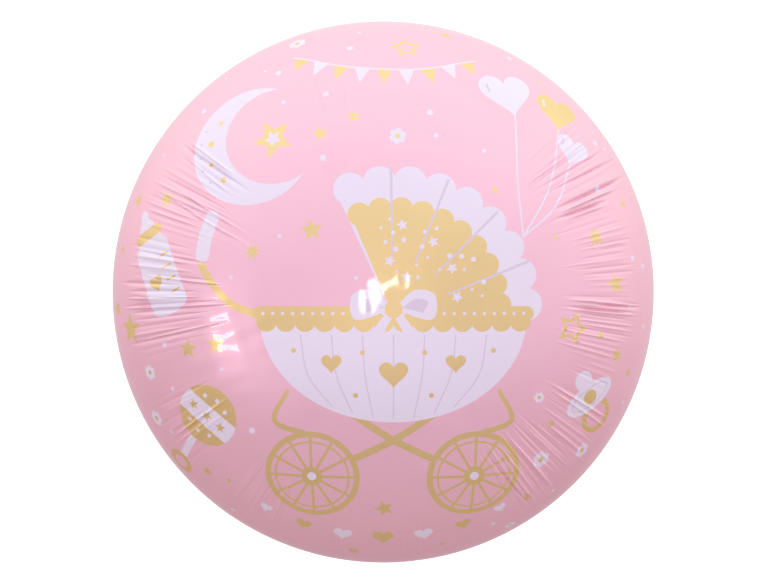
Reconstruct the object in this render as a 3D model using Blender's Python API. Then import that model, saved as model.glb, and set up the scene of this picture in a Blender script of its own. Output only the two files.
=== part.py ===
"""A round foil balloon, filled and lying on its back with its printed film up.

Two discs of metallised film are heat-sealed to each other round their edge, and a flat
valve strip lies between them in the filling neck. Filled, such a bag takes the shape of a
lens whose films run the shortest way from the middle to the edge. The seal stands behind
the widest circle, where it puckers, and the neck is folded back along the back film.
Lengths are in metres, +Z is up and the neck is on the -Y side.
"""
import math

import bmesh
import bpy
from mathutils import Vector

# The two films before filling
FLAT_DIAMETER = 0.457
SEAM_WIDTH = 0.006
FILM_THICKNESS = 0.0004
LAYER_GAP = 0.0003

# The sealed edge once the balloon is filled
SEAM_SETBACK = 0.012
SEAM_LEAN = math.radians(25)
CRIMPS = 56
CRIMP_DEPTH = 0.0012
CRIMP_REACH = 0.035
CRIMP_AT_SEAM = 0.5

# The filling neck and the valve strip in it
NECK_WIDTH = 0.030
NECK_FLARE = 0.004
NECK_LENGTH = 0.060
NECK_FOLD = 0.016
NECK_CLEARANCE = 0.0015
VALVE_MARGIN = 0.005
VALVE_THICKNESS = 0.0003
VALVE_SHOWS = 0.004

# The spot that the balloon rests on
REST_RADIUS = 0.040

# How finely the films are faceted
RINGS = 12
RINGS_TO_DOUBLING = 4
NECK_STATION = 0.006
VALVE_STRIPS = 6
SUM_STEPS = 200
HALVINGS = 40

PINK_FILM = ((0.88, 0.50, 0.64), 0.35, 0.35)
PINK_BACK = ((0.84, 0.45, 0.60), 0.35, 0.35)
CLEAR_FILM = ((0.80, 0.82, 0.85), 0.25, 0.0)


def total(rate, start, end):
    """The sum of rate over start to end, taken at the middles of equal steps."""
    step = (end - start) / SUM_STEPS
    return step * sum(rate(start + (i + 0.5) * step) for i in range(SUM_STEPS))


def solve(rule, wanted, low, high):
    """Where rule, which falls or rises steadily between low and high, gives wanted."""
    rising = rule(high) > rule(low)
    for _ in range(HALVINGS):
        middle = (low + high) / 2
        if (rule(middle) < wanted) == rising:
            low = middle
        else:
            high = middle
    return (low + high) / 2


def length_rate(turn):
    return 1 / math.sqrt(1 + math.sin(turn) ** 2)


def height_rate(turn):
    return math.sin(turn) ** 2 * length_rate(turn)


# A place on the lens is its turn: 0 in the middle of a film and a quarter turn at the
# widest circle. The film's length there fixes how wide the filled balloon is.
QUARTER = math.pi / 2
WIDE_RADIUS = (FLAT_DIAMETER / 2 - SEAM_WIDTH) / total(length_rate, 0, QUARTER)


def radius_at(turn):
    return WIDE_RADIUS * math.sin(turn)


def height_at(turn):
    """Distance of the film from the plane of the widest circle."""
    return WIDE_RADIUS * total(height_rate, turn, QUARTER)


def slope_at(turn):
    """The film's slope off that plane, which is a quarter turn at the widest circle."""
    return math.asin(math.sin(turn) ** 2)


def turn_at_slope(slope):
    return math.asin(math.sqrt(math.sin(slope)))


def turn_at_height(height):
    return solve(height_at, height, 0, QUARTER)


REST_TURN = math.asin(REST_RADIUS / WIDE_RADIUS)
WIDE_HEIGHT = height_at(REST_TURN)
SEAM_TURN = turn_at_height(SEAM_SETBACK)
SEAM_HEIGHT = WIDE_HEIGHT - SEAM_SETBACK
SEGMENTS = 4 * CRIMPS

# The sealed edge in section: which way it points, and its four layers of skin counted
# inwards from the front film's outer side.
EDGE_OUT = math.sin(SEAM_LEAN)
EDGE_DOWN = math.cos(SEAM_LEAN)
FRONT_OUTER = 0.0
FRONT_INNER = FILM_THICKNESS
BACK_OUTER = FILM_THICKNESS + LAYER_GAP
BACK_INNER = 2 * FILM_THICKNESS + LAYER_GAP
INWARD_SLOPE = 1 / math.tan(slope_at(SEAM_TURN))
VALLEY_DEPTH = BACK_INNER / (EDGE_OUT + EDGE_DOWN * INWARD_SLOPE)

# The neck's root, spread over a whole number of facets of the sealed edge
TIP_TURN = turn_at_height(SEAM_SETBACK + SEAM_WIDTH * EDGE_DOWN)
TIP_RADIUS = radius_at(SEAM_TURN) + SEAM_WIDTH * EDGE_OUT
FACET = math.tau / SEGMENTS
ROOT_FACETS = max(1, round((NECK_WIDTH / 2 + NECK_FLARE) / (TIP_RADIUS * FACET)))
ROOT_ANGLE = ROOT_FACETS * FACET
NECK_SIDE = -QUARTER


def off_neck(angle):
    """How far an angle round the balloon is from the middle of the neck."""
    return abs(math.remainder(angle - NECK_SIDE, math.tau))


def ease(share):
    share = min(max(share, 0.0), 1.0)
    return share * share * (3 - 2 * share)


def pucker(angle):
    """The crimps round the edge, from -1 to 1, held still where the neck leaves it."""
    free = ease((off_neck(angle) - ROOT_ANGLE) / (4 * FACET))
    return 1 + free * (math.cos(CRIMPS * angle) - 1)


def around(radius, height, crimp=0.0):
    """A ring's place rule: its radius with a share of the crimps, and its height."""

    def place(angle):
        reach = radius + crimp * CRIMP_DEPTH * pucker(angle)
        return Vector((reach * math.cos(angle), reach * math.sin(angle), height))

    return place


def edge_ring(down, layer):
    """A ring on the sealed edge: how far down it, and which layer of skin."""
    radius = radius_at(SEAM_TURN) + down * EDGE_OUT - layer * EDGE_DOWN
    height = SEAM_HEIGHT - down * EDGE_DOWN - layer * EDGE_OUT
    crimp = CRIMP_AT_SEAM + (1 - CRIMP_AT_SEAM) * down / SEAM_WIDTH
    return around(radius, height, crimp)


def root_ring(layer, height):
    """Where a layer of the sealed edge meets the flat inner side of its film."""
    down = (SEAM_HEIGHT - layer * EDGE_OUT - height) / EDGE_DOWN
    return edge_ring(down, layer)


def angle_of(point):
    return math.atan2(point.y, point.x)


def rim_of(bm):
    return [edge for edge in bm.edges if edge.is_boundary]


def double_rim(bm, place):
    """Halves each edge of the open rim, and puts the new points on its ring."""
    bmesh.ops.subdivide_edges(bm, edges=rim_of(bm), cuts=1)
    for vert in {vert for edge in rim_of(bm) for vert in edge.verts}:
        vert.co = place(angle_of(vert.co))


def add_ring(bm, place):
    """Draws the open rim out to a new ring, and gives back the band between them."""
    drawn = bmesh.ops.extrude_edge_only(bm, edges=rim_of(bm))["geom"]
    for vert in (item for item in drawn if isinstance(item, bmesh.types.BMVert)):
        vert.co = place(angle_of(vert.co))
    return [item for item in drawn if isinstance(item, bmesh.types.BMFace)]


def film_rings(first_turn, last_turn):
    """Turns of the rings over a film, an equal bend apart."""
    first, last = slope_at(first_turn), slope_at(last_turn)
    shares = [ring / RINGS for ring in range(RINGS + 1)]
    return [turn_at_slope(first + share * (last - first)) for share in shares]


def start_film(centre_height, radius, height):
    """The middle of a film: a fan of CRIMPS facets."""
    bm = bmesh.new()
    bmesh.ops.create_circle(
        bm, cap_ends=True, cap_tris=True, segments=CRIMPS, radius=radius
    )
    for vert in bm.verts:
        vert.co.z = height if vert.is_boundary else centre_height
    return bm


def grow_film(bm, places):
    """Adds the rings of a film outwards, their facets doubled early on and at the last."""
    for ring, place in enumerate(places):
        if ring in (RINGS_TO_DOUBLING, len(places) - 1):
            double_rim(bm, places[ring - 1])
        add_ring(bm, place)


def close_inside(bm, height):
    """Shuts the open rim with a flat fan: the film's side towards the other film."""
    flat = bmesh.ops.contextual_create(bm, geom=rim_of(bm))["faces"]
    centre = bmesh.ops.poke(bm, faces=flat)["verts"][0]
    centre.co = Vector((0, 0, height))


def neck_lift(run):
    """Height of the neck's lowest skin over the back film, run along from the edge."""
    start = TIP_RADIUS - BACK_INNER * EDGE_DOWN - radius_at(TIP_TURN)
    share = min(run / NECK_FOLD, 1.0)
    leaning = NECK_FOLD * math.tan(SEAM_LEAN) * share * (1 - share) ** 2
    return start + ease(share) * (NECK_CLEARANCE - start) + leaning


def neck_half_width(run):
    root = TIP_RADIUS * ROOT_ANGLE
    return root + ease(run / NECK_FOLD) * (NECK_WIDTH / 2 - root)


def neck_layers(run):
    """Lifts of the neck's skins off the back film, which part to take the valve."""
    pocket = LAYER_GAP + ease(run / NECK_FOLD) * (LAYER_GAP + VALVE_THICKNESS)
    back_outer = neck_lift(run) + FILM_THICKNESS
    front_inner = back_outer + pocket
    return neck_lift(run), back_outer, front_inner, front_inner + FILM_THICKNESS


def over_back(run, across, lift):
    """A point over the back film: run on from the edge's foot, across, and lifted."""
    turn = solve(
        lambda turn: WIDE_RADIUS * total(length_rate, turn, TIP_TURN), run, 0, TIP_TURN
    )
    slope = slope_at(turn)
    angle = NECK_SIDE + across / radius_at(turn)
    reach = radius_at(turn) + lift * math.sin(slope)
    height = WIDE_HEIGHT - height_at(turn) - lift * math.cos(slope)
    return Vector((reach * math.cos(angle), reach * math.sin(angle), height))


def stations(first, last):
    count = math.ceil((last - first) / NECK_STATION)
    return [first + (last - first) * step / count for step in range(count + 1)]


def neck_runs():
    """Stations along the neck, closer together over the fold at its root."""
    fold = [NECK_FOLD * share for share in (0.2, 0.4, 0.6, 0.8)]
    return fold + stations(NECK_FOLD, NECK_LENGTH)


def draw_neck(bm, tip_band, skins):
    """Draws the faces at the edge's tip out into a film's half of the neck."""
    across = bm.verts.layers.float.new("across")
    outer = bm.verts.layers.float.new("outer")
    faces = [
        face
        for face in tip_band
        if off_neck(angle_of(face.calc_center_median())) < ROOT_ANGLE
    ]
    middle = faces[0].calc_center_median().xy.length
    for vert in {vert for face in faces for vert in face.verts}:
        turned = math.remainder(angle_of(vert.co) - NECK_SIDE, math.tau)
        vert[across] = turned / ROOT_ANGLE
        vert[outer] = vert.co.xy.length > middle
    for run in neck_runs():
        inner_lift, outer_lift = (neck_layers(run)[skin] for skin in skins)
        drawn = bmesh.ops.extrude_face_region(bm, geom=faces)["geom"]
        bmesh.ops.delete(bm, geom=faces, context="FACES")
        for vert in (item for item in drawn if isinstance(item, bmesh.types.BMVert)):
            lift = outer_lift if vert[outer] > 0.5 else inner_lift
            vert.co = over_back(run, vert[across] * neck_half_width(run), lift)
        faces = [item for item in drawn if isinstance(item, bmesh.types.BMFace)]


def film_material(name, look):
    colour, roughness, metallic = look
    material = bpy.data.materials.new(name)
    material.use_nodes = True
    shader = material.node_tree.nodes["Principled BSDF"]
    shader.inputs["Base Color"].default_value = (*colour, 1)
    shader.inputs["Roughness"].default_value = roughness
    shader.inputs["Metallic"].default_value = metallic
    return material


def finish(bm, name, look):
    """Makes the closed bmesh an object with its own material."""
    bmesh.ops.triangulate(bm, faces=bm.faces)
    bmesh.ops.recalc_face_normals(bm, faces=bm.faces)
    mesh = bpy.data.meshes.new(name)
    bm.to_mesh(mesh)
    bm.free()
    mesh.shade_smooth()
    mesh.set_sharp_from_angle(angle=math.radians(40))
    mesh.materials.append(film_material(name, look))
    made = bpy.data.objects.new(name, mesh)
    bpy.context.scene.collection.objects.link(made)
    return made


def make_front_film():
    turns = film_rings(0, QUARTER)[1:]
    heights = [WIDE_HEIGHT + height_at(turn) for turn in turns]
    bm = start_film(WIDE_HEIGHT + height_at(0), radius_at(turns[0]), heights[0])
    rings = list(zip(turns[1:], heights[1:]))
    places = [around(radius_at(turn), height) for turn, height in rings]
    grow_film(bm, places)
    inside = SEAM_HEIGHT + LAYER_GAP / 2
    add_ring(bm, edge_ring(0, FRONT_OUTER))
    add_ring(bm, edge_ring(SEAM_WIDTH, FRONT_OUTER))
    tip_band = add_ring(bm, edge_ring(SEAM_WIDTH, FRONT_INNER))
    add_ring(bm, root_ring(FRONT_INNER, inside))
    close_inside(bm, inside)
    draw_neck(bm, tip_band, skins=(2, 3))
    return finish(bm, "front_film", PINK_FILM)


def make_back_film():
    valley_turn = turn_at_height(SEAM_SETBACK + VALLEY_DEPTH * EDGE_DOWN)
    turns = film_rings(REST_TURN, valley_turn)

    def place_at(turn):
        run = WIDE_RADIUS * total(length_rate, turn, SEAM_TURN)
        crimp = CRIMP_AT_SEAM * ease(1 - run / CRIMP_REACH)
        return around(radius_at(turn), WIDE_HEIGHT - height_at(turn), crimp)

    bm = start_film(0, REST_RADIUS, 0)
    grow_film(bm, [place_at(turn) for turn in turns[1:]])
    inside = SEAM_HEIGHT - LAYER_GAP / 2
    add_ring(bm, edge_ring(SEAM_WIDTH, BACK_INNER))
    tip_band = add_ring(bm, edge_ring(SEAM_WIDTH, BACK_OUTER))
    add_ring(bm, root_ring(BACK_OUTER, inside))
    close_inside(bm, inside)
    draw_neck(bm, tip_band, skins=(0, 1))
    return finish(bm, "back_film", PINK_BACK)


def make_valve_film():
    """The flat valve strip in the neck's pocket, its mouth just past the neck's end."""
    bm = bmesh.new()
    half = NECK_WIDTH / 2 - VALVE_MARGIN
    shares = [2 * strip / VALVE_STRIPS - 1 for strip in range(VALVE_STRIPS + 1)]

    def skin_point(run, share, raised):
        lift = neck_layers(run)[1] + LAYER_GAP + raised * VALVE_THICKNESS
        return over_back(run, share * half, lift)

    def section(run):
        lower = [bm.verts.new(skin_point(run, share, 0)) for share in shares]
        upper = [bm.verts.new(skin_point(run, share, 1)) for share in reversed(shares)]
        loop = lower + upper
        return [bm.edges.new((loop[i - 1], loop[i])) for i in range(len(loop))]

    runs = stations(NECK_FOLD, NECK_LENGTH) + [NECK_LENGTH + VALVE_SHOWS]
    loops = [section(run) for run in runs]
    for near, far in zip(loops, loops[1:]):
        bmesh.ops.bridge_loops(bm, edges=near + far)
    for end in (loops[0], loops[-1]):
        bmesh.ops.contextual_create(bm, geom=end)
    return finish(bm, "valve_film", CLEAR_FILM)


def main():
    for old in list(bpy.data.objects):
        bpy.data.objects.remove(old, do_unlink=True)
    make_front_film()
    make_back_film()
    make_valve_film()


main()
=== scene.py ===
"""The looks of a round foil balloon that lies on its back with its printed film up.

Each film starts as the flat disc that it is cut from. The print is cut into that disc, and
the disc is then blown up into the balloon's lens, with the pleats that its edge is drawn
into, its heat-sealed border, and its half of the folded-back filling neck.
"""
import math

import bmesh
import bpy
import numpy as np
from bpy.props import FloatProperty, FloatVectorProperty, IntProperty, PointerProperty
from bpy.types import Operator, Panel, PropertyGroup
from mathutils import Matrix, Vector
from mathutils.geometry import delaunay_2d_cdt


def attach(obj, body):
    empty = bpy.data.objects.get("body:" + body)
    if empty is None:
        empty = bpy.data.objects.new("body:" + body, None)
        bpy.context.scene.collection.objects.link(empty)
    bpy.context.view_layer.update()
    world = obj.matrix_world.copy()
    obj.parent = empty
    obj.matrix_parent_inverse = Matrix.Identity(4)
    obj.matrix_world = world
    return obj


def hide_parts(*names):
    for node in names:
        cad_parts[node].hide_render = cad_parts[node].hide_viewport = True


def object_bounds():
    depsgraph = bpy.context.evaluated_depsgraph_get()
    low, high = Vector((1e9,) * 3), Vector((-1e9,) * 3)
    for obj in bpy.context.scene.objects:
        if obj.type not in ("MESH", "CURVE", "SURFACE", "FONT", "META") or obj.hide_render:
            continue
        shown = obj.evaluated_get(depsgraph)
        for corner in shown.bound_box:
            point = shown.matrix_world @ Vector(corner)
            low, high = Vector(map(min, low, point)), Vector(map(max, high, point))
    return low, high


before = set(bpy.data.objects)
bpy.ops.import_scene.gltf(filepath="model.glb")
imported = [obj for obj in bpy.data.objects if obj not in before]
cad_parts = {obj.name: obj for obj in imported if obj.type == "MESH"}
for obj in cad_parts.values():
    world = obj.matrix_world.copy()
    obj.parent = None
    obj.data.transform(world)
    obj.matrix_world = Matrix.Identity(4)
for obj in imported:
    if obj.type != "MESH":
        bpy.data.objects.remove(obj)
cad_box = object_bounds()

bl_info = {
    "name": "Foil Balloon",
    "version": (1, 0, 0),
    "blender": (4, 5, 0),
    "location": "3D View > Sidebar > Foil Balloon",
    "description": "Makes a filled round foil balloon with a printed front",
    "category": "Add Mesh",
}

MM = 0.001
QUARTER = math.pi / 2
NECK_SIDE = -QUARTER
CAD_FACETS = 4


def length_property(name, description, default):
    return FloatProperty(name=name, description=description, default=default, unit="LENGTH")


def colour_property(name, description, default):
    return FloatVectorProperty(
        name=name, description=description, default=default, subtype="COLOR", size=3
    )


class BalloonShape(PropertyGroup):
    """The films before filling, and how they lie once they are filled"""

    flat_diameter: length_property("Flat Diameter", "Width of a disc before filling", 0.457)
    seam_width: length_property("Seam Width", "Width of the heat-sealed border", 0.006)
    film: length_property("Film", "Thickness of a film", 0.00015)
    seam_gap: length_property("Seam Gap", "Gap between the two films in the seal", 0.00005)
    seam_setback: length_property("Seam Setback", "How far the seal lies behind the rim", 0.012)
    seam_lean: FloatProperty(
        name="Seam Lean",
        description="How far the border leans out from straight back",
        default=math.radians(25),
        unit="ROTATION",
    )
    rest_radius: length_property("Rest Radius", "Radius of the flat spot it lies on", 0.040)
    crimps: IntProperty(name="Crimps", description="Puckers round the seal", default=56)
    crimp_depth: length_property("Crimp Depth", "Half height of the puckers' edge", 0.0012)
    crimp_reach: length_property("Crimp Reach", "How far they run in over the back", 0.035)
    pleat_depth: length_property("Pleat Depth", "Height of a pleat of depth 1", 0.00072)
    crease_depth: length_property("Crease Depth", "Height of a crease of depth 1", 0.00115)


class NeckShape(PropertyGroup):
    """The filling neck, folded back along the back film"""

    width: length_property("Width", "Width of the neck", 0.030)
    flare: length_property("Flare", "How much wider each side is at the neck's root", 0.004)
    length: length_property("Length", "Length of the neck", 0.060)
    fold: length_property("Fold", "Length over which the neck bends in", 0.016)
    clearance: length_property("Clearance", "Height of the neck off the back film", 0.0019)
    pocket: length_property("Pocket", "Opening in the neck where the valve lies", 0.0009)
    side_seal: length_property("Side Seal", "Width of the seal along each side", 0.005)


class BalloonColours(PropertyGroup):
    """The films and their inks"""

    front: colour_property("Front", "Satin pink of the front film", (0.88, 0.475, 0.58))
    back: colour_property("Back", "Satin pink of the back film", (0.88, 0.43, 0.54))
    pearl: colour_property("Pearl", "Pearly white ink", (0.82, 0.66, 0.765))
    shade: colour_property("Shade", "Lilac shading on the white", (0.70, 0.54, 0.66))
    gold: colour_property("Gold", "Metallic gold ink", (0.78, 0.53, 0.245))
    valve: colour_property("Valve", "Milky valve film", (0.80, 0.81, 0.84))


# The print, in millimetres on the flat film, +Y up the picture

PRINT_STEP = 1.2


def toward(angle):
    """The unit vector of an angle, or one for each of many."""
    return np.stack((np.cos(angle), np.sin(angle)), axis=-1)


def arc(radius, start=0, end=360, at=(0, 0), squash=1.0):
    """Points round an arc given in degrees; a whole circle's last point is left out."""
    count = max(4, math.ceil(radius * abs(math.radians(end - start)) / PRINT_STEP))
    angles = np.radians(np.linspace(start, end, max(count, 10) + 1))
    points = toward(angles) * (1, squash) * radius
    whole = abs(end - start) == 360
    return points[: len(points) - whole] + at


def on_arc(radius, angle):
    """The point of a circle at an angle given in degrees."""
    return arc(radius, angle, angle + 1)[0]


def star(radius, points=5, waist=0.45):
    angles = QUARTER + np.arange(2 * points) * math.pi / points
    reach = np.where(np.arange(2 * points) % 2, waist * radius, radius)
    return toward(angles) * reach[:, None]


def heart(width):
    t = np.linspace(0, math.tau, max(24, int(3 * width / PRINT_STEP)), endpoint=False)
    across = 16 * np.sin(t) ** 3
    up = 13 * np.cos(t) - 5 * np.cos(2 * t) - 2 * np.cos(3 * t) - np.cos(4 * t)
    return np.column_stack((-across, up)) * width / 32


def curve(*knots):
    """A smooth line through the knots."""
    knots = np.array(knots, float)
    ends = np.vstack((2 * knots[0] - knots[1], knots, 2 * knots[-1] - knots[-2]))
    line = []
    for a, b, c, d in zip(ends, ends[1:], ends[2:], ends[3:]):
        count = max(2, math.ceil(np.linalg.norm(c - b) / PRINT_STEP))
        t = np.arange(count)[:, None] / count
        bend = (2 * a - 5 * b + 4 * c - d) * t**2 + (3 * b - a - 3 * c + d) * t**3
        line.append(b + ((c - a) * t + bend) / 2)
    return np.vstack((*line, knots[-1:]))


def stroke(line, width, end_width=None):
    """The outline of a line drawn with a round pen, which may taper."""
    line = np.asarray(line, float)
    way = np.gradient(line, axis=0)
    way /= np.linalg.norm(way, axis=1)[:, None]
    side = np.column_stack((-way[:, 1], way[:, 0]))
    taper = np.linspace(width, width if end_width is None else end_width, len(line))
    half = taper[:, None] / 2
    turns = np.radians(np.linspace(90, -90, 8))[1:-1]

    def cap(end, facing):
        bulge = np.cos(turns)[:, None] * way[end] + np.sin(turns)[:, None] * side[end]
        return line[end] + half[end] * facing * bulge

    left, right = line + side * half, line - side * half
    return np.vstack((left, cap(-1, 1), right[::-1], cap(0, -1)))


def moved(outline, at=(0, 0), turn=0.0, size=1.0):
    angle = math.radians(turn)
    cos, sin = math.cos(angle), math.sin(angle)
    return np.asarray(outline) @ np.array(((cos, sin), (-sin, cos))) * size + at


def finer(outline):
    """The closed outline with its long sides cut to PRINT_STEP, run anticlockwise."""
    outline = np.asarray(outline, float)
    ahead = np.roll(outline, -1, axis=0)
    if np.sum(outline[:, 0] * ahead[:, 1] - outline[:, 1] * ahead[:, 0]) < 0:
        outline = outline[::-1]
    points = []
    for here, there in zip(outline, np.roll(outline, -1, axis=0)):
        count = max(1, math.ceil(np.linalg.norm(there - here) / PRINT_STEP))
        points.append(here + (there - here) * np.arange(count)[:, None] / count)
    return np.vstack(points)


class Sheet:
    """A flat film's print: closed outlines, each with its ink, later ones on top."""

    def __init__(self):
        self.shapes = []

    def lay(self, ink, outline, at=(0, 0), turn=0.0, size=1.0):
        self.shapes.append((ink, moved(finer(outline), at, turn, size)))

    def group(self, at, turn=0.0):
        """A way to lay shapes drawn about their motif's own middle."""

        def lay(ink, outline, here=(0, 0), tilt=0.0):
            shape = moved(outline, here, tilt)
            self.shapes.append((ink, moved(finer(shape), at, turn)))

        return lay

    def room_at(self, spot, margin):
        """True where a new motif stands clear of everything printed so far."""
        for _, outline in self.shapes:
            near = np.linalg.norm(outline - spot, axis=1).min() < margin
            if near or covers(outline, spot):
                return False
        return True


def covers(outline, spot):
    """True if the spot is inside the outline, by the sides that a ray crosses."""
    x0, y0 = outline.T
    x1, y1 = np.roll(outline, -1, axis=0).T
    straddles = (y0 > spot[1]) != (y1 > spot[1])
    rise = np.where(straddles, y1 - y0, 1)
    crosses = spot[0] < x0 + (spot[1] - y0) * (x1 - x0) / rise
    return bool(np.count_nonzero(straddles & crosses) % 2)


def lay_pram(lay):
    """A baby's pram: a quilted body on spoked wheels, under a hood with a gold lining."""
    half, depth, hood, lining = 78, 62, 80, 64
    for side in (-1, 1):
        bar = curve((-34, -50), (2, -74), (48, -96)) * (side, 1)
        lay("gold", stroke(bar, 4.4))
        spring = curve((62, -44), (70, -62), (50, -70)) * (side, 1)
        lay("gold", stroke(spring, 2.6, 3.6))
    for side in (-1, 1):
        lay_wheel(lay, (side * 49, -97), 29)
    lay("gold", stroke(curve((-half, 0), (-98, 9), (-114, 31), (-111, 52)), 4.6))
    lay("pearl", stroke(curve((-113.5, 36), (-112, 46), (-108, 58)), 9))
    for angle in np.arange(5, 118, 13.0):
        lay("pearl", arc(9.6), on_arc(hood - 2, angle))
    lay("pearl", np.vstack(((0, 0), arc(hood, -3, 115))))
    for angle in np.arange(6, 112, 11.4):
        lay("gold", arc(6.9), on_arc(lining - 2, angle))
    lay("gold", np.vstack(((0, 0), arc(lining, 0, 113))))
    for angle in (22, 45, 68, 91):
        rib = on_arc(1, angle)
        lay("shade", stroke(np.array((rib * 34, rib * 60, rib * (hood + 5))), 0.9, 1.7))
    lay_sprinkles(lay, lining - 7)
    lay("pearl", np.vstack((arc(half, 180, 360, squash=depth / half), (half, 2), (-half, 2))))
    for x in np.linspace(-54, 54, 7):
        low = -depth * math.sqrt(1 - (0.66 * x / half) ** 2) + 2.5
        lay("shade", stroke(curve((x, -11), (0.92 * x, -34), (0.66 * x, low)), 0.8))
    for x in np.linspace(-half + 4, half - 4, 14):
        lay("gold", arc(6.2), (x, -3))
    lay("gold", stroke(np.array(((-half, 1.5), (0, 1.5), (half, 1.5))), 8.5))
    for x in np.linspace(-half + 2, half - 2, 27):
        lay("pearl", arc(1.0), (x, 1.5))
    for x, y, width in ((-36, -27, 12), (0, -33, 17), (36, -27, 12)):
        lay("gold", heart(width), (x, y))
    for x, y in ((-58, -20), (-18, -21), (18, -21), (58, -20), (-22, -46), (22, -46)):
        lay("gold", arc(1.5), (x, y))
    lay_bow(lay, (0, 4))


def lay_wheel(lay, at, radius):
    rims = (radius, radius - 3.6, radius - 6, radius - 7.2)
    for ink, rim in zip(("gold", "film", "gold", "film"), rims):
        lay(ink, arc(rim), at)
    for angle in range(0, 180, 30):
        spoke = on_arc(radius - 3, angle)
        lay("gold", stroke(np.array((-spoke, spoke * 0, spoke)) + at, 1.7))
    lay("gold", arc(6.5), at)
    lay("pearl", arc(2.8), at)


def lay_sprinkles(lay, reach):
    """White stars and dots strewn evenly over the hood's lining, clear of the bow."""
    band, bow_reach, bow_top = 10, 30, 20
    for count in range(34):
        angle = 7 + 100 * ((count * 0.7549) % 1)
        radius = reach * math.sqrt(0.09 + 0.91 * ((count * 0.5698) % 1))
        spot = on_arc(radius, angle)
        if spot[1] < band or (spot[0] < bow_reach and spot[1] < bow_top):
            continue
        if count % 5 == 0:
            lay("pearl", star(3.6), spot, 31 * count)
        else:
            lay("pearl", arc((0.9, 1.5, 1.2)[count % 3]), spot)


def lay_bow(lay, at):
    """A tied ribbon with two loops and two ends."""
    for side in (-1, 1):
        end = curve((0, 0), (8, -12), (12, -26)) * (side, 1)
        lay("pearl", stroke(end, 4, 8), at)
        loop = curve((0, 0), (12, 11), (24, 8), (22, -6), (0, 0)) * (side, 1)
        lay("pearl", loop[:-1], at)
        inner = curve((5, 1), (13, 6), (20, 4), (17, -2)) * (side, 1)
        lay("shade", inner, at)
    lay("gold", arc(5.2), at)


def lay_moon(lay):
    """A crescent moon that holds a star."""
    outer = arc(39, 52, 308)
    inner = arc(31.5, 290, 70, at=(15.5, 0))
    lay("pearl", np.vstack((outer, inner)))
    lay("gold", star(13, waist=0.46), (14, -3), 12)
    lay("pearl", star(5.5, waist=0.5), (14, -3), 12)
    for x, y, radius in ((-25, 10, 2.2), (-28, -4, 1.5), (-22, -17, 1.9), (-16, 22, 1.5)):
        lay("gold", arc(radius), (x, y))
    for turn in (-38, -22, -6, 10, 26):
        lay("shade", arc(0.9), on_arc(34.5, 180 + turn))


def lay_heart_balloons(lay):
    """Three heart balloons on thin strings."""
    hearts = ((-14, 22, 36, "pearl", 10), (28, -14, 24, "pearl", -20), (22, 14, 31, "gold", -10))
    hand = np.array((-10, -72))
    for x, y, width, ink, lean in hearts:
        tip = moved(((0, -0.5 * width),), (x, y), lean)[0]
        hanging = (tip + hand) / 2 + (0.15 * x, -4)
        lay("pearl", stroke(curve(tip, hanging, hand), 1.0))
    for x, y, width, ink, lean in hearts:
        lay(ink, heart(width), (x, y), lean)
        glint = "shade" if ink == "pearl" else "pearl"
        shine = curve((-0.33 * width, 0.04 * width), (-0.34 * width, 0.17 * width))
        lay(glint, stroke(shine, 1.8), (x, y), lean)


def lay_rattle(lay):
    lay("pearl", stroke(curve((0, -16), (0, -30), (0, -44)), 5.5))
    lay("gold", arc(10), (0, -52))
    lay("film", arc(6), (0, -52))
    lay("gold", arc(20))
    lay("pearl", np.vstack((arc(20, -20, 20), arc(20, 160, 200))))
    for x in (-11, 0, 11):
        lay("gold", star(3.6), (x, 0), 9 * x)
    for y in (-13, 13):
        for x in (-8, 0, 8):
            lay("pearl", arc(1.4), (x, y - 0.04 * x * x * math.copysign(1, y)))


def lay_bottle(lay):
    glass = np.vstack((arc(14, 180, 360, at=(0, -30), squash=0.45), (14, 9), (9, 16)))
    lay("pearl", np.vstack((glass, (-9, 16), (-14, 9))))
    lay("gold", stroke(np.array(((-9, 18), (0, 18), (9, 18))), 7))
    teat = np.vstack((arc(7, 0, 60, at=(0, 22)), arc(3.6, 0, 180, at=(0, 32))))
    lay("pearl", np.vstack((teat, arc(7, 120, 180, at=(0, 22)))))
    for y in (-24, -16, -8, 0):
        lay("gold", stroke(np.array(((5, y), (8, y), (11, y))), 1.3))
    lay("gold", heart(11), (-4, -14))


def lay_dummy(lay):
    """A baby's dummy: a ring, a shield and a teat."""
    lay("gold", arc(12.5), (0, -16))
    lay("film", arc(8.4), (0, -16))
    lay("pearl", stroke(curve((0, 0), (0, 7), (0, 13)), 8, 13))
    lay("pearl", arc(19, squash=0.48))
    lay("shade", arc(15.5, squash=0.40))
    lay("pearl", arc(14.3, squash=0.38))
    lay("gold", arc(5))


def lay_bunting(sheet, *knots):
    """A string of little flags."""
    line = curve(*knots)
    gaps = np.linalg.norm(np.diff(line, axis=0), axis=1)
    along = np.concatenate(((0,), np.cumsum(gaps)))
    count = round(along[-1] / 14)
    for number in range(count):
        middle = along[-1] * (number + 0.5) / count
        x, y = (np.interp(middle, along, line[:, axis]) for axis in (0, 1))
        ahead = [np.interp(middle + 2, along, line[:, axis]) for axis in (0, 1)]
        turn = math.degrees(math.atan2(ahead[1] - y, ahead[0] - x))
        flag = ((-5, 0), (5, 0), (0, -11.5))
        sheet.lay(("gold", "pearl")[number % 2], flag, (x, y), turn)
    sheet.lay("pearl", stroke(line, 1.0))


def lay_heart_row(sheet, radius):
    """Hearts along the foot of the print, smaller to each side."""
    for step in range(-3, 4):
        angle = math.radians(-90 + 9.5 * step)
        spot = radius * toward(angle)
        ink = ("gold", "pearl")[step % 2]
        sheet.lay(ink, heart(14 - 1.8 * abs(step)), spot, 9.5 * step)


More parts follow.
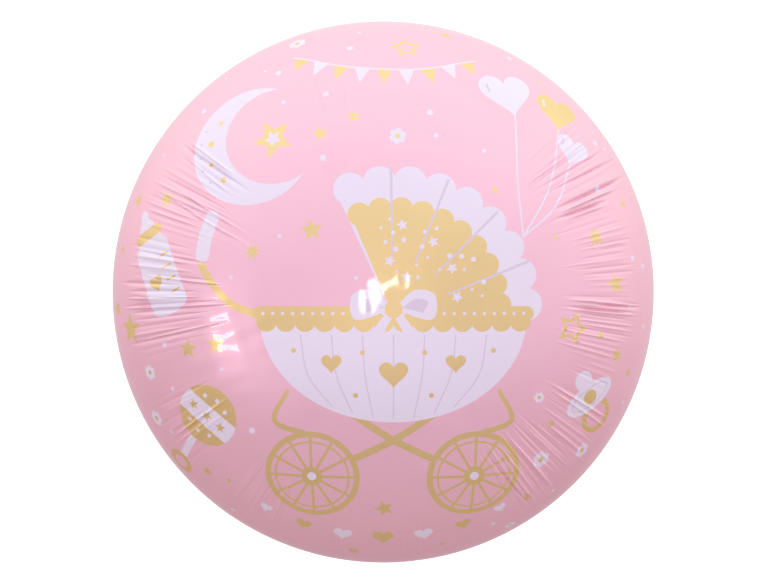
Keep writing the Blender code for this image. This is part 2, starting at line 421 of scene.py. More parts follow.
def lay_small(sheet, kind, at, turn, size):
    """One of the small motifs between the big ones."""
    if kind == "star":
        sheet.lay("gold", star(5.6, waist=0.44), at, turn, size)
    elif kind == "open star":
        sheet.lay("gold", star(6.2, waist=0.5), at, turn, size)
        sheet.lay("film", star(3.9, waist=0.5), at, turn, size)
    elif kind == "burst":
        sheet.lay("gold", star(4.6, points=8, waist=0.38), at, turn, size)
    elif kind == "daisy":
        for petal in range(6):
            spot = moved(((2.9, 0),), turn=60 * petal + turn)[0] * size + at
            sheet.lay("pearl", arc(1.9), spot, 0, size)
        sheet.lay("gold", arc(1.5), at, 0, size)
    elif kind == "gold dot":
        sheet.lay("gold", arc(1.7), at, 0, size)
    else:
        sheet.lay("pearl", arc(1.6), at, 0, size)


def strew(sheet, count, reach, margin, kinds, size=1.0):
    """Small motifs on a sunflower's spiral, wherever the print leaves them room."""
    laid = 0
    for step in range(count):
        radius = reach * math.sqrt((step + 0.5) / count)
        angle = step * math.pi * (3 - math.sqrt(5)) + 0.35 * math.sin(2.3 * step)
        spot = radius * toward(angle)
        kind = kinds[laid % len(kinds)]
        room = margin + (0 if "dot" in kind else 4 * size)
        if sheet.room_at(spot, room):
            own_size = size * (1.0 + 0.3 * math.sin(5.1 * step))
            lay_small(sheet, kind, spot, 47 * step, own_size)
            laid += 1


def front_print():
    sheet = Sheet()
    lay_moon(sheet.group((-80, 90), 18))
    lay_heart_balloons(sheet.group((92, 104)))
    lay_bunting(sheet, (-58, 153), (-22, 140), (22, 138), (60, 150))
    lay_bottle(sheet.group((-143, 20), 24))
    lay_rattle(sheet.group((-108, -76), -38))
    lay_dummy(sheet.group((130, -66), 30))
    lay_heart_row(sheet, 158)
    lay_pram(sheet.group((6, -14)))
    strew(sheet, 50, 176, 13, ["star", "open star", "star", "burst"], 1.6)
    kinds = ["dot", "star", "dot", "burst", "dot", "gold dot", "dot", "daisy"]
    strew(sheet, 170, 188, 7.5, kinds)
    return sheet


def back_print():
    sheet = Sheet()
    strew(sheet, 64, 180, 12, ["star", "dot", "dot", "open star", "dot"])
    return sheet


# The filled balloon


class Lens:
    """The section of two sealed films once filled, by the film's run from its middle."""

    STEPS = 16384

    def __init__(self, shape):
        turn = np.linspace(0, math.pi, self.STEPS + 1)
        square = np.sin(turn) ** 2
        rate = 1 / np.sqrt(1 + square)
        run, fall = (self.summed(values) for values in (rate, square * rate))
        wide = self.STEPS // 2
        self.wide_radius = (shape.flat_diameter / 2 - shape.seam_width) / run[wide]
        self.run = run * self.wide_radius
        self.radius = np.sin(turn) * self.wide_radius
        self.height = (fall[wide] - fall) * self.wide_radius
        bend = np.arcsin(square)
        self.slope = np.where(turn < QUARTER, bend, math.pi - bend)
        self.wide_run = self.run[wide]
        self.wide_height = np.interp(
            shape.rest_radius, self.radius[:wide], self.height[:wide]
        )
        self.seam_run = self.run_at(-shape.seam_setback)

    def summed(self, rate):
        """The running total of a rate over half a turn."""
        steps = (rate[1:] + rate[:-1]) / 2 * math.pi / self.STEPS
        return np.concatenate(((0,), np.cumsum(steps)))

    def run_at(self, height):
        """The front film's run down to a height off the widest circle."""
        return float(np.interp(-height, -self.height, self.run))

    def at(self, run):
        """Radius, height over the floor and slope at a run from the front's middle."""
        radius = np.interp(run, self.run, self.radius)
        height = self.wide_height + np.interp(run, self.run, self.height)
        return radius, np.maximum(height, 0), np.interp(run, self.run, self.slope)


def ease(share):
    """A smooth rise from 0 to 1."""
    share = np.clip(share, 0, 1)
    return share * share * (3 - 2 * share)


def turned_from(angle, middle):
    """The angle counted from a middle, the short way round."""
    return (angle - middle + math.pi) % math.tau - math.pi


# Groups of fine pleats: the middle and half spread in degrees, the inner and outer ends
# as shares of the widest radius, and how deep they are.
FRONT_PLEATS = (
    (9, 13, 0.65, 0.92, 0.42),
    (-7, 8, 0.63, 0.93, 0.62),
    (33, 12, 0.64, 0.96, 0.6),
    (-17, 9, 0.66, 0.90, 0.34),
    (-46, 16, 0.64, 0.94, 0.78),
    (-88, 9, 0.80, 0.98, 0.3),
    (-120, 10, 0.71, 0.95, 0.5),
    (-146, 10, 0.70, 0.94, 0.5),
    (181, 17, 0.60, 0.95, 0.95),
    (153, 13, 0.60, 0.93, 0.62),
    (105, 7, 0.62, 0.88, 0.25),
)
ALL_ROUND = 999
BACK_PLEATS = ((0, ALL_ROUND, 0.66, 0.99, 1.0),)
# Single creases: the angle at the inner and at the outer end, both ends, and how deep.
CREASES = (
    (40.8, 40.1, 0.72, 0.89, 0.3),
    (37.7, 36.0, 0.70, 0.90, -0.35),
    (33.6, 32.6, 0.60, 0.96, -0.75),
    (31.1, 29.6, 0.62, 1.00, -0.9),
    (25.5, 25.6, 0.63, 0.98, -1.7),
    (24.2, 23.9, 0.66, 0.91, 1.4),
    (22.8, 22.2, 0.62, 0.87, -1.4),
    (21.6, 21.2, 0.68, 0.85, 0.7),
    (12.0, 11.6, 0.68, 0.90, 0.4),
    (-2.3, -3.0, 0.62, 0.88, 1.1),
    (-3.4, -3.6, 0.71, 0.93, -1.2),
    (-4.6, -4.8, 0.61, 0.91, -1.4),
    (-6.4, -6.6, 0.66, 0.90, -0.5),
    (-28.7, -29.6, 0.64, 0.93, 1.2),
    (-30.3, -31.4, 0.66, 0.94, 1.0),
    (-41.1, -40.2, 0.66, 0.94, 0.6),
    (-45.0, -44.5, 0.68, 0.92, 0.4),
    (-49.1, -49.3, 0.62, 0.95, 1.0),
    (-51.6, -51.3, 0.66, 0.95, 0.6),
    (-55.4, -53.9, 0.68, 0.95, 0.6),
    (-57.8, -55.2, 0.62, 0.96, -1.1),
    (-81.0, -82.5, 0.76, 1.00, 0.5),
    (-95.0, -95.0, 0.84, 0.96, 0.25),
    (-119.5, -121.0, 0.68, 0.94, -0.5),
    (-125.0, -125.5, 0.70, 0.92, 0.45),
    (-143.9, -143.6, 0.72, 0.92, 0.6),
    (-145.7, -145.3, 0.64, 0.92, 1.2),
    (190.5, 191.5, 0.52, 0.90, 0.6),
    (184.4, 183.6, 0.48, 0.95, 1.1),
    (182.0, 181.0, 0.64, 0.92, -0.7),
    (177.6, 175.8, 0.50, 0.88, 0.8),
    (171.0, 170.4, 0.58, 0.91, -0.8),
    (161.4, 155.6, 0.44, 0.84, 0.6),
    (157.2, 152.6, 0.48, 0.86, 0.65),
    (147.6, 145.4, 0.60, 0.86, 0.6),
    (143.3, 143.9, 0.56, 0.90, -1.4),
    (141.9, 142.2, 0.64, 0.88, 1.0),
    (107.6, 107.6, 0.60, 0.88, 0.6),
    (102.6, 100.0, 0.56, 0.84, -0.5),
)
CREASE_HALF_WIDTH = 1.0 * MM
PLEATS_PER_CRIMP = 4


class Pleats:
    """Fine folds side by side round a film, each with its own length and depth."""

    def __init__(self, count, groups, seed):
        self.count = count
        turns = np.linspace(-1.1 * math.pi, 1.1 * math.pi, 16 * count)
        middle = np.interp(np.arange(count) + 0.5, self.phase(turns), turns)
        self.depth = np.zeros(count)
        self.inner = np.full(count, 0.8)
        self.outer = np.full(count, 0.9)
        for at, spread, inner, outer, depth in groups:
            spread = math.radians(spread)
            off = np.abs(turned_from(middle, math.radians(at)))
            near = ease((spread - off) / (0.45 * spread))
            mine = depth * near > self.depth
            self.depth[mine] = depth * near[mine]
            self.inner[mine] = inner
            self.outer[mine] = outer
        chance = np.random.default_rng(seed)
        self.depth *= chance.uniform(0.4, 1.35, count) * chance.choice((-1, 1), count)
        self.inner += chance.uniform(-0.07, 0.09, count)
        self.outer -= chance.uniform(0, 0.05, count)

    def phase(self, angle):
        """Counts the folds round the film, which lie closer together on its right."""
        wander = 4 * np.sin(angle) + 0.32 * np.sin(9 * angle + 1.0)
        wander += 0.2 * np.sin(17 * angle + 2.4)
        return self.count * (angle + math.pi) / math.tau + wander

    def height(self, angle, share):
        """Sharp-topped folds with round valleys, drawn out to a point at both ends."""
        phase = self.phase(angle) + 0.3 * np.sin(7 * angle) * (share - 0.8)
        fold = np.floor(phase).astype(int)
        across = 2 * np.abs(phase - fold - 0.5)
        fold %= self.count
        along = (share - self.inner[fold]) / (self.outer[fold] - self.inner[fold])
        width = 0.3 + 0.7 * ease(along / 0.5) * ease((1 - along) / 0.3)
        tall = self.depth[fold] * ease(along / 0.4) * ease((1 - along) / 0.25)
        side = np.sqrt((across / width) ** 2 + 0.012) - 0.11
        return tall * np.maximum(1 - side, 0) ** 2

    def shows(self, angle, share):
        fold = np.floor(self.phase(angle)).astype(int) % self.count
        inside = (share > self.inner[fold] - 0.02) & (share < self.outer[fold] + 0.03)
        return inside & (np.abs(self.depth[fold]) > 0.03)


def crease_height(angle, share, radius):
    height = np.zeros_like(angle)
    for inner_angle, outer_angle, inner, outer, depth in CREASES:
        along = (share - inner) / (outer - inner)
        line = np.radians(inner_angle + (outer_angle - inner_angle) * along)
        half_width = CREASE_HALF_WIDTH * (0.8 + 0.35 * abs(depth))
        across = turned_from(angle, line) * radius / half_width
        crest = np.exp(-1.7 * (np.sqrt(across**2 + 0.03) - 0.17))
        fold = crest - 0.4 * np.exp(-(across**2) / 6)
        height += depth * fold * ease(along / 0.4) * ease((1 - along) / 0.3)
    return height


# Waves over the film that bend what it reflects: across, up, phase and slope
SWELLS = ((31, 9, 0.4, 0.010), (-44, 37, 2.1, 0.012), (12, -78, 4.0, 0.010))
# Where it is crumpled: middle, spread, slope and waves, each across, up, phase and share
CREASED_WAVES = ((390, 110, 0.3, 1.0), (-240, 330, 1.9, 0.8), (150, -460, 4.4, 0.9))
STREAKED_WAVES = ((760, 90, 0.9, 1.0), (-430, 210, 2.2, 0.8), (60, 260, 0.4, 0.5))
CRUMPLED = (
    (-0.092, -0.024, 0.030, 0.035, CREASED_WAVES),
    (-0.004, 0.006, 0.034, 0.008, STREAKED_WAVES),
)


def swell_height(angle, radius):
    x, y = radius * np.cos(angle), radius * np.sin(angle)
    height = np.zeros_like(x)
    for across, up, phase, slope in SWELLS:
        height += slope / math.hypot(across, up) * np.sin(across * x + up * y + phase)
    for middle_x, middle_y, spread, slope, waves in CRUMPLED:
        near = np.exp(-((x - middle_x) ** 2 + (y - middle_y) ** 2) / spread**2)
        for across, up, phase, share in waves:
            wave = np.sin(across * x + up * y + phase) / math.hypot(across, up)
            height += near * slope * share * wave
    return height


# The puckers' share of their depth where the border begins, the facets over which they
# fade beside the neck, and the run over which the back film's pleats begin
CRIMP_AT_SEAM = 0.5
CRIMP_FADE = 4
PLEATS_BEGIN = 0.02
# The share of the widest radius where the swells end, and the share they fade over
SWELLS_END, SWELLS_FADE = 0.98, 0.3


class Balloon:
    """The filled balloon's surfaces, as places for a film's angle and run."""

    def __init__(self, scene):
        self.shape = scene.balloon_shape
        self.neck = scene.balloon_neck
        self.lens = Lens(self.shape)
        self.columns = COLUMNS_PER_CRIMP * self.shape.crimps
        self.pleats = PLEATS_PER_CRIMP * self.shape.crimps
        self.front_pleats = Pleats(self.pleats, FRONT_PLEATS, 5)
        self.back_pleats = Pleats(self.pleats, BACK_PLEATS, 8)
        tip_radius = self.edge(self.shape.seam_width, 0)[0]
        self.facet = math.tau / (CAD_FACETS * self.shape.crimps)
        root = self.neck.width / 2 + self.neck.flare
        self.root_angle = max(1, round(root / (tip_radius * self.facet))) * self.facet
        short_of_seam = self.lens.run[-1] - self.lens.seam_run - STOPS_SHORT
        self.films = {
            "front": (self.front, self.front_columns, self.lens.seam_run),
            "back": (self.back, self.back_columns, short_of_seam),
        }

    def pucker(self, angle):
        """The crimps round the seal, held still where the neck leaves it."""
        past_root = np.abs(turned_from(angle, NECK_SIDE)) - self.root_angle
        free = ease(past_root / (CRIMP_FADE * self.facet))
        uneven = 0.85 + 0.15 * np.sin(5 * angle + 2)
        fine = 0.16 * np.cos(self.pleats * angle + 1.5 * np.sin(7 * angle))
        return 1 + free * (uneven * np.cos(self.shape.crimps * angle) + fine - 1)

    def edge(self, down, layer):
        """Radius and height of a skin of the sealed border, down from its root."""
        radius, height, _ = self.lens.at(self.lens.seam_run)
        lean = self.shape.seam_lean
        radius += down * math.sin(lean) - layer * math.cos(lean)
        return radius, height - down * math.cos(lean) - layer * math.sin(lean)

    def front(self, angle, run):
        """The front film, whose run is counted from its middle."""
        radius, height, slope = self.lens.at(run)
        share = np.where(run < self.lens.wide_run, radius / self.lens.wide_radius, 1)
        lift = self.shape.pleat_depth * self.front_pleats.height(angle, share)
        lift += self.shape.crease_depth * crease_height(angle, share, radius)
        lift += swell_height(angle, radius) * ease((SWELLS_END - share) / SWELLS_FADE)
        past = (run - self.lens.wide_run) / (self.lens.seam_run - self.lens.wide_run)
        crimp = CRIMP_AT_SEAM * ease(past) * self.shape.crimp_depth * self.pucker(angle)
        return self.placed(angle, radius, height, slope, lift, crimp)

    def back(self, angle, run):
        """The back film, whose run is counted from its own middle."""
        radius, height, slope = self.lens.at(self.lens.run[-1] - run)
        off_seam = self.lens.run[-1] - run - self.lens.seam_run
        share = radius / self.lens.wide_radius
        pleats = self.back_pleats.height(angle, share) * ease(off_seam / PLEATS_BEGIN)
        near = CRIMP_AT_SEAM * ease(1 - off_seam / self.shape.crimp_reach)
        crimp = near * self.shape.crimp_depth * self.pucker(angle)
        lift = self.shape.pleat_depth * pleats
        return self.placed(angle, radius, height, slope, lift, crimp)

    def front_columns(self, angle, run):
        """The step between a row's columns, and the angles where every one is kept."""
        if run > self.lens.wide_run:
            return SEAM_STEP, False
        radius = self.lens.at(run)[0]
        share = radius / self.lens.wide_radius
        creases = crease_height(angle, share, radius)
        return SMOOTH_STEP, self.front_pleats.shows(angle, share) | (np.abs(creases) > CREASED)

    def back_columns(self, angle, run):
        share = self.lens.at(run)[0] / self.lens.wide_radius
        return 1 if share > BACK_PLEATED else SMOOTH_STEP, False

    def placed(self, angle, radius, height, slope, lift, crimp):
        reach = radius + lift * np.sin(slope) + crimp
        up = height + lift * np.cos(slope)
        return np.stack((reach * np.cos(angle), reach * np.sin(angle), up), axis=-1)

    def neck_point(self, run, across, layer):
        """A skin of the neck: run on from the border's edge, across from -1 to 1, and
        layer counted outwards from the middle of the pocket, in films and gaps."""
        shape, neck, lens = self.shape, self.neck, self.lens
        tip_run = lens.run_at(
            -shape.seam_setback - shape.seam_width * math.cos(shape.seam_lean)
        )
        middle = shape.film + shape.seam_gap / 2
        start = self.edge(shape.seam_width, middle)[0] - lens.at(tip_run)[0]
        share = min(run / neck.fold, 1.0)
        settled = neck.clearance + neck.pocket / 2
        lift = start + ease(share) * (settled - start)
        lift += neck.fold * math.tan(shape.seam_lean) * share * (1 - share) ** 2
        side = (1 - abs(across)) * neck.width / 2 / neck.side_seal
        open_by = (neck.pocket - shape.seam_gap) * ease(share) * ease(side)
        sign = math.copysign(1, layer)
        lift += sign * (shape.seam_gap + open_by) / 2 + (layer - sign) * shape.film
        root = self.edge(shape.seam_width, 0)[0] * self.root_angle
        half = root + ease(share) * (neck.width / 2 - root)
        radius, height, slope = lens.at(tip_run + run)
        angle = NECK_SIDE + across * half / radius
        reach = radius + lift * math.sin(slope)
        up = height + lift * math.cos(slope)
        return Vector((reach * math.cos(angle), reach * math.sin(angle), up))


# The flat film, with its print cut in

COLUMNS_PER_CRIMP = 32
# Rings of points fill the film's middle, this far out and apart
PLAIN_RUN = 0.088
MIDDLE_STEP = 0.0018
# Past it the rows are this far apart, and closer near the seam and down the neck
ROW = 0.004
NEAR_ROW = 0.002
# The columns from point to point in a smooth row, and in one near the seam
SMOOTH_STEP, SEAM_STEP = 4, 2
# The crease height and the share of the widest radius from which every column is kept
CREASED = 0.01
BACK_PLEATED = 0.6
# How far before the seam the back film's last row lies
STOPS_SHORT = 0.0008
TOUCHING = 1e-4
ALL_TRIANGLES = 0
SHARP_ANGLE = math.radians(42)


def warped(points, columns):
    """Metres on the film to the plane where it is cut up, in which the outer part is
    drawn in so that the facets of the pleats, long and narrow, are about square."""
    run = np.linalg.norm(points, axis=1)
    rate = math.tau / columns / ROW
    drawn_in = PLAIN_RUN * np.exp(np.maximum(run - PLAIN_RUN, 0) * rate)
    scale = np.where(run > PLAIN_RUN, drawn_in / np.maximum(run, TOUCHING), 1)
    return points * scale[:, None] / MM


def unwarped(points, columns):
    """The angle and run on the film of points in the plane where it was cut up."""
    points = points * MM
    reach = np.linalg.norm(points, axis=1)
    rate = math.tau / columns / ROW
    outer = PLAIN_RUN + np.log(np.maximum(reach, PLAIN_RUN) / PLAIN_RUN) / rate
    angle = np.arctan2(points[:, 1], points[:, 0])
    return angle, np.where(reach > PLAIN_RUN, outer, reach)


def split_at_circle(outline, radius):
    """The outline with a point added wherever it crosses the circle."""
    points = []
    for here, there in zip(outline, np.roll(outline, -1, axis=0)):
        points.append(here)
        if (np.hypot(*here) < radius) != (np.hypot(*there) < radius):
            way = there - here
            a, b, c = way @ way, 2 * here @ way, here @ here - radius**2
            root = math.copysign(math.sqrt(b * b - 4 * a * c), -c)
            share = (root - b) / 2 / a
            if 0.02 < share < 0.98:
                points.append(here + share * way)
    return np.array(points)


def film_points(balloon, last_run, columns_for):
    """Points over the flat film: rings in its middle, then rows across the pleats."""
    columns = balloon.columns
    points = [np.zeros((1, 2))]
    rings = round(PLAIN_RUN / MIDDLE_STEP)
    for ring in range(1, rings):
        run = PLAIN_RUN * ring / rings
        count = round(math.tau * ring)
        angle = (np.arange(count) + 0.5 * (ring % 2)) * math.tau / count
        points.append(run * toward(angle))
    wide = balloon.lens.wide_run
    far = min(wide, last_run)
    rows = np.linspace(PLAIN_RUN, far, round((far - PLAIN_RUN) / ROW) + 1)
    if last_run > wide:
        past = np.linspace(wide, last_run, round((last_run - wide) / NEAR_ROW) + 1)
        rows = np.concatenate((rows, past[1:]))
    column = np.arange(columns)
    angle = column * math.tau / columns
    for run in rows:
        step, every = columns_for(angle, run)
        kept = (column % step == 0) | every
        if run == rows[-1]:
            kept = column % 2 == 0
        points.append(run * toward(angle[kept]))
    return np.vstack(points)


def cut_film(balloon, points, sheet, inks):
    """Triangles of the flat film, with the print's outlines cut in, and their inks."""
    corners = list(warped(points, balloon.columns))
    faces = []
    for _, outline in sheet.shapes:
        outline = split_at_circle(outline * MM, PLAIN_RUN)
        first = len(corners)
        corners += list(warped(outline, balloon.columns))
        faces.append(list(range(first, len(corners))))
    places = [Vector(corner) for corner in corners]
    cut = delaunay_2d_cdt(places, [], faces, ALL_TRIANGLES, TOUCHING)
    made, triangles, owners = np.array(cut[0]), cut[2], cut[5]
    ink_of = [inks.index(ink) for ink, _ in sheet.shapes]
    ink = [ink_of[max(owner)] if owner else 0 for owner in owners]
    angle, run = unwarped(made, balloon.columns)
    return angle, run, triangles, ink


def surface_normals(place, angle, run):
    """Normals of a placed surface, from the places a hair to each side."""
    hair = 2e-5
    turn = hair / np.maximum(run, hair)
    along = place(angle, run + hair) - place(angle, run - hair)
    across = place(angle + turn, run) - place(angle - turn, run)
    normal = np.cross(along, across)
    size = np.linalg.norm(normal, axis=1)
    flat = size < 1e-14
    normal[flat] = (0, 0, 1)
    return normal / np.where(flat, 1, size)[:, None]


def angle_of(point):
    return math.atan2(point.y, point.x)


def add_ring(bm, balloon, down, layer):
    """Draws the film's open rim on to a ring of its sealed border, and gives the band."""
    rim = [edge for edge in bm.edges if edge.is_boundary]
    drawn = bmesh.ops.extrude_edge_only(bm, edges=rim)["geom"]
    radius, height = balloon.edge(down, layer)
    share = CRIMP_AT_SEAM + (1 - CRIMP_AT_SEAM) * down / balloon.shape.seam_width
    for vert in (item for item in drawn if isinstance(item, bmesh.types.BMVert)):
        angle = angle_of(vert.co)
        crimp = share * balloon.shape.crimp_depth * float(balloon.pucker(angle))
        reach = radius + crimp
        vert.co = (reach * math.cos(angle), reach * math.sin(angle), height)
    return [item for item in drawn if isinstance(item, bmesh.types.BMFace)]


def draw_neck(bm, balloon, tip_band, layers):
    """Draws the faces at the border's edge out into the film's half of the neck."""
    across = bm.verts.layers.float.new("across")
    outer = bm.verts.layers.float.new("outer")
    faces = []
    for face in tip_band:
        turned = turned_from(angle_of(face.calc_center_median()), NECK_SIDE)
        if abs(turned) < balloon.root_angle:
            faces.append(face)
    middle = faces[0].calc_center_median().xy.length
    for vert in {vert for face in faces for vert in face.verts}:
        vert[across] = turned_from(angle_of(vert.co), NECK_SIDE) / balloon.root_angle
        vert[outer] = vert.co.xy.length > middle
    steps = round(balloon.neck.length / NEAR_ROW)
    for step in range(1, steps + 1):
        run = balloon.neck.length * step / steps
        drawn = bmesh.ops.extrude_face_region(bm, geom=faces)["geom"]
        bmesh.ops.delete(bm, geom=faces, context="FACES")
        for vert in (item for item in drawn if isinstance(item, bmesh.types.BMVert)):
            layer = layers[1] if vert[outer] > 0.5 else layers[0]
            vert.co = balloon.neck_point(run, vert[across], layer)
        faces = [item for item in drawn if isinstance(item, bmesh.types.BMFace)]


def make_film(name, balloon, side, sheet, inks):
    """Cuts, blows up and borders a film, and gives its object."""
    place, columns_for, last_run = balloon.films[side]
    points = film_points(balloon, last_run, columns_for)
    angle, run, triangles, ink = cut_film(balloon, points, sheet, list(inks))
    mesh = bpy.data.meshes.new(name)
    mesh.from_pydata(place(angle, run).tolist(), [], triangles)
    mesh.polygons.foreach_set("material_index", ink)
    for material in inks.values():
        mesh.materials.append(material)
    bm = bmesh.new()
    bm.from_mesh(mesh)
    finish_border(bm, balloon, side)
    bmesh.ops.recalc_face_normals(bm, faces=bm.faces)
    bm.to_mesh(mesh)
    bm.free()
    mesh.shade_smooth()
    mesh.set_sharp_from_angle(angle=SHARP_ANGLE)
    outward = surface_normals(place, angle, run) * (1 if side == "front" else -1)
    true = np.zeros((len(mesh.loops), 3))
    corner = np.empty(len(mesh.loops), int)
    mesh.loops.foreach_get("vertex_index", corner)
    blown_up = 3 * len(triangles)
    true[:blown_up] = outward[corner[:blown_up]]
    mesh.normals_split_custom_set(true.tolist())
    made = bpy.data.objects.new(name, mesh)
    bpy.context.scene.collection.objects.link(made)
    return made


def finish_border(bm, balloon, side):
    """Adds the film's skin of the sealed border, its half of the neck and its inside."""
    shape = balloon.shape
    width, film, gap = shape.seam_width, shape.film, shape.seam_gap
    if side == "front":
        outer, inner, layers = 0, film, (1, 2)
    else:
        outer, inner, layers = 2 * film + gap, film + gap, (-2, -1)
    for share in (0.25, 0.5, 0.75, 1.0):
        add_ring(bm, balloon, share * width, outer)
    tip_band = add_ring(bm, balloon, width, inner)
    add_ring(bm, balloon, 0.0, inner)
    rim = [edge for edge in bm.edges if edge.is_boundary]
    flat = bmesh.ops.contextual_create(bm, geom=rim)["faces"]
    bmesh.ops.poke(bm, faces=flat)
    draw_neck(bm, balloon, tip_band, layers)


# The clear gloss over the film and its inks
GLOSS_WEIGHT, GLOSS_IOR, GLOSS_ROUGHNESS = 0.35, 1.8, 0.04
SPECULAR_LEVEL = 0.2
# How far the mottle takes the colour down and up, and the roughness to each side
DARKEST, LIGHTEST, ROUGHNESS_SPREAD = 0.97, 1.03, 0.05
MOTTLE_DETAIL = 4


def set_inputs(node, values):
    for name, value in values.items():
        node.inputs[name].default_value = value


def satin(name, colour, roughness, metallic, mottle_scale=60, drift=(1, 1, 1)):
    """A metallised film or ink under a clear gloss, mottled from its colour to a drift."""
    material = bpy.data.materials.new(name)
    material.use_nodes = True
    nodes, links = material.node_tree.nodes, material.node_tree.links
    shader = nodes["Principled BSDF"]
    finish = {
        "Metallic": metallic,
        "Coat Weight": GLOSS_WEIGHT,
        "Coat IOR": GLOSS_IOR,
        "Coat Roughness": GLOSS_ROUGHNESS,
        "Specular IOR Level": SPECULAR_LEVEL,
        "Specular Tint": (*[math.sqrt(c) for c in colour], 1),
    }
    set_inputs(shader, finish)
    place = nodes.new("ShaderNodeTexCoord")
    mottle = nodes.new("ShaderNodeTexNoise")
    set_inputs(mottle, {"Scale": mottle_scale, "Detail": MOTTLE_DETAIL})
    links.new(place.outputs["Object"], mottle.inputs["Vector"])
    tint = nodes.new("ShaderNodeMix")
    tint.data_type = "RGBA"
    darker = [DARKEST * c for c in colour]
    lighter = [min(1, LIGHTEST * c * shift) for c, shift in zip(colour, drift)]
    set_inputs(tint, {"A": (*darker, 1), "B": (*lighter, 1)})
    links.new(mottle.outputs["Fac"], tint.inputs["Factor"])
    links.new(tint.outputs["Result"], shader.inputs["Base Color"])
    rough = nodes.new("ShaderNodeMapRange")
    low, high = roughness - ROUGHNESS_SPREAD, roughness + ROUGHNESS_SPREAD
    set_inputs(rough, {"To Min": low, "To Max": high})
    links.new(mottle.outputs["Fac"], rough.inputs["Value"])
    links.new(rough.outputs["Result"], shader.inputs["Roughness"])
    return material


def film_inks(film_name, film_colour, colours):
    return {
        "film": satin(film_name, film_colour, 0.36, 0.5),
        "pearl": satin("pearl_ink", colours.pearl, 0.40, 0.2, 20, (0.96, 1.0, 1.06)),
        "shade": satin("shade_ink", colours.shade, 0.42, 0.2),
        "gold": satin("gold_ink", colours.gold, 0.32, 0.8),
    }


class BALLOON_OT_front_film(Operator):
    """Make the printed front film with its border and its half of the neck"""

    bl_idname = "balloon.front_film"
    bl_label = "Front Film"

    def execute(self, context):
        colours = context.scene.balloon_colours
        inks = film_inks("pink_film", colours.front, colours)
        balloon = Balloon(context.scene)
        film = make_film("front_film_printed", balloon, "front", front_print(), inks)
        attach(film, "root")
        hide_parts("front_film")
        return {"FINISHED"}


class BALLOON_OT_back_film(Operator):
    """Make the back film with its border and its half of the neck"""

    bl_idname = "balloon.back_film"
    bl_label = "Back Film"

    def execute(self, context):
        colours = context.scene.balloon_colours
        inks = film_inks("pink_back", colours.back, colours)
        balloon = Balloon(context.scene)
        film = make_film("back_film_printed", balloon, "back", back_print(), inks)
        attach(film, "root")
        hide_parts("back_film")
        return {"FINISHED"}


class BALLOON_OT_valve_film(Operator):
    """Finish the valve strip in the neck"""

    bl_idname = "balloon.valve_film"
    bl_label = "Valve Film"

    def execute(self, context):
        milky = satin("milky_valve", context.scene.balloon_colours.valve, 0.3, 0.0)
        valve = bpy.data.objects["valve_film"]
        valve.material_slots[0].material = milky
        return {"FINISHED"}


class BALLOON_OT_stage(Operator):
    """Make the floor, the lights and the camera over the balloon"""

    bl_idname = "balloon.stage"
    bl_label = "Stage"

    def execute(self, context):
        scene = context.scene
        make_floor(scene)
        make_sky(scene)
        for window in WINDOWS:
            soft_light(*window)
        make_camera(scene)
        return {"FINISHED"}


FLOOR_REACH, FLOOR_DROP = 3.0, 0.0002
FLOOR_FINISH = {
    "Base Color": (0.95, 0.95, 0.95, 1),
    "Roughness": 0.9,
    "Emission Color": (1, 1, 1, 1),
    "Emission Strength": 0.55,
}


def make_floor(scene):
    """A pale floor just under the balloon, which doesn't tint what lies on it."""
    bm = bmesh.new()
    bmesh.ops.create_grid(bm, x_segments=1, y_segments=1, size=FLOOR_REACH)
    bmesh.ops.translate(bm, verts=bm.verts, vec=(0, 0, -FLOOR_DROP))
    mesh = bpy.data.meshes.new("floor")
    bm.to_mesh(mesh)
    bm.free()
    floor = bpy.data.objects.new("floor", mesh)
    scene.collection.objects.link(floor)
    material = bpy.data.materials.new("pale_floor")
    material.use_nodes = True
    set_inputs(material.node_tree.nodes["Principled BSDF"], FLOOR_FINISH)
    mesh.materials.append(material)
    floor.visible_diffuse = False
    floor.visible_glossy = False


# How bright the studio is, from the picture's foot (-1) to its top (1)
STUDIO_LEVELS = (
    (-1.0, (0.61, 0.57, 0.54)),
    (-0.45, (0.67, 0.62, 0.62)),
    (0.0, (1.02, 1.00, 1.00)),
    (0.3, (1.24, 1.31, 1.28)),
    (0.6, (1.36, 1.52, 1.46)),
    (1.0, (1.34, 1.51, 1.47)),
)
STUDIO_LEAN = (0.08, 0.99, 0.0)
# How it is dimmed and tinted from under the balloon (-1) up to right overhead (1)
STUDIO_TINTS = (
    (-1.0, (0.88, 0.86, 0.86)),
    (-0.1, (1.00, 1.00, 1.00)),
    (0.3, (1.00, 1.00, 1.00)),
    (1.0, (0.92, 0.955, 1.06)),
)


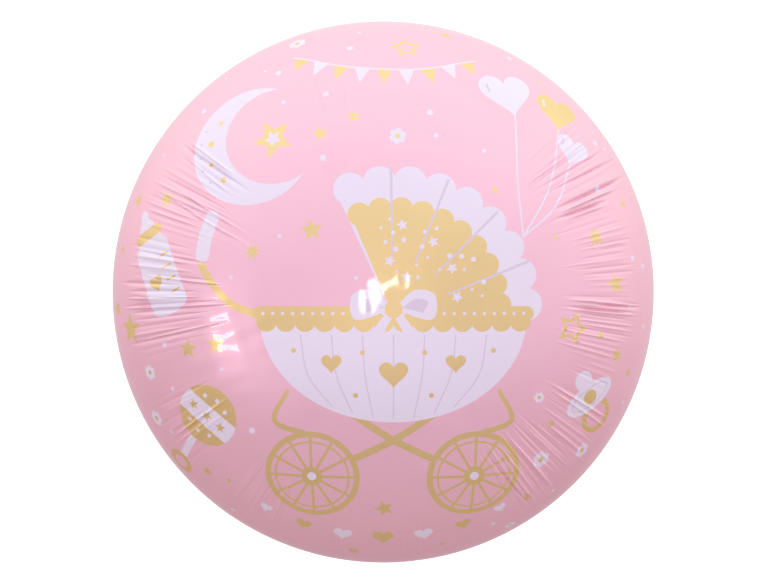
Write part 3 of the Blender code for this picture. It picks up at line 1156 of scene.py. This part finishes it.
def make_sky(scene):
    """A soft studio, bright towards the picture's top and dimmer towards its foot."""
    world = bpy.data.worlds.new("studio")
    world.use_nodes = True
    nodes, links = world.node_tree.nodes, world.node_tree.links
    sky = nodes["Background"]
    place = nodes.new("ShaderNodeTexCoord")
    both = nodes.new("ShaderNodeVectorMath")
    both.operation = "MULTIPLY"
    brightest = 1.0
    for number, (way, levels) in enumerate(
        ((STUDIO_LEAN, STUDIO_LEVELS), ((0, 0, 1), STUDIO_TINTS))
    ):
        along = nodes.new("ShaderNodeVectorMath")
        along.operation = "DOT_PRODUCT"
        along.inputs[1].default_value = way
        links.new(place.outputs["Generated"], along.inputs[0])
        share = nodes.new("ShaderNodeMapRange")
        share.inputs["From Min"].default_value = -1
        links.new(along.outputs["Value"], share.inputs["Value"])
        ramp = nodes.new("ShaderNodeValToRGB")
        links.new(share.outputs["Result"], ramp.inputs["Fac"])
        links.new(ramp.outputs["Color"], both.inputs[number])
        peak = max(max(colour) for _, colour in levels)
        brightest *= peak
        stops = ramp.color_ramp.elements
        while len(stops) < len(levels):
            stops.new(0.5)
        for stop, (height, colour) in zip(stops, levels):
            stop.position = (height + 1) / 2
            stop.color = (*[part / peak for part in colour], 1)
    sky.inputs["Strength"].default_value = brightest
    links.new(both.outputs["Vector"], sky.inputs["Color"])
    scene.world = world


# Name, place, width, height and power of the lights that the gloss reflects
WINDOWS = (
    ("near_window", (-0.041, -0.009, 2.1), 0.034, 0.132, 0.28),
    ("side_window", (-1.2, -0.34, 1.55), 0.14, 0.24, 1.2),
)


def soft_light(name, at, width, height, power):
    """A rectangular light aimed at the balloon's top."""
    light = bpy.data.lights.new(name, "AREA")
    light.shape = "RECTANGLE"
    light.size, light.size_y = width, height
    light.energy = power
    lamp = bpy.data.objects.new(name, light)
    lamp.location = at
    aim = Vector((0, 0, cad_box[1][2])) - Vector(at)
    lamp.rotation_euler = aim.to_track_quat("-Z", "Y").to_euler()
    bpy.context.scene.collection.objects.link(lamp)


CAMERA_DISTANCE = 1.2
BALLOON_PIXELS = 541.5
PICTURE_WIDTH, PICTURE_HEIGHT = 770, 580
MIDDLE_X, MIDDLE_Y = 383.2, 291.9
SENSOR = 36.0


def make_camera(scene):
    """Straight over the balloon's front, with the picture's top towards +Y. The film's
    section bends round half the widest circle's radius there, which sets the rim seen."""
    lens = Lens(scene.balloon_shape)
    away = lens.wide_height + CAMERA_DISTANCE
    camera = bpy.data.cameras.new("camera")
    rim_angle = 2 * math.atan(lens.wide_radius / 2 / CAMERA_DISTANCE)
    camera.sensor_width = SENSOR
    half_picture = SENSOR / 2 * BALLOON_PIXELS / PICTURE_WIDTH
    camera.lens = half_picture / math.tan(rim_angle)
    camera.shift_x = (PICTURE_WIDTH / 2 - MIDDLE_X) / PICTURE_WIDTH
    camera.shift_y = (MIDDLE_Y - PICTURE_HEIGHT / 2) / PICTURE_WIDTH
    seen = bpy.data.objects.new("camera", camera)
    seen.location = (0, 0, away)
    scene.collection.objects.link(seen)
    scene.camera = seen
    scene.view_settings.view_transform = "Standard"


class BALLOON_PT_panel(Panel):
    """The balloon's sizes and colours, and a button for each piece"""

    bl_idname = "BALLOON_PT_panel"
    bl_label = "Foil Balloon"
    bl_space_type = "VIEW_3D"
    bl_region_type = "UI"
    bl_category = "Foil Balloon"

    def draw(self, context):
        for group in ("balloon_shape", "balloon_neck", "balloon_colours"):
            settings = getattr(context.scene, group)
            box = self.layout.box()
            for name in settings.__annotations__:
                box.prop(settings, name)
        for operator in OPERATORS:
            self.layout.operator(operator.bl_idname)


GROUPS = {
    "balloon_shape": BalloonShape,
    "balloon_neck": NeckShape,
    "balloon_colours": BalloonColours,
}
OPERATORS = (
    BALLOON_OT_front_film,
    BALLOON_OT_back_film,
    BALLOON_OT_valve_film,
    BALLOON_OT_stage,
)


def register():
    for made in (*GROUPS.values(), *OPERATORS, BALLOON_PT_panel):
        bpy.utils.register_class(made)
    for name, group in GROUPS.items():
        setattr(bpy.types.Scene, name, PointerProperty(type=group))


def unregister():
    for name in GROUPS:
        delattr(bpy.types.Scene, name)
    for made in (BALLOON_PT_panel, *OPERATORS, *GROUPS.values()):
        bpy.utils.unregister_class(made)


def main():
    register()
    bpy.ops.balloon.front_film()
    bpy.ops.balloon.back_film()
    bpy.ops.balloon.valve_film()
    bpy.ops.balloon.stage()


if __name__ == "__main__":
    main()
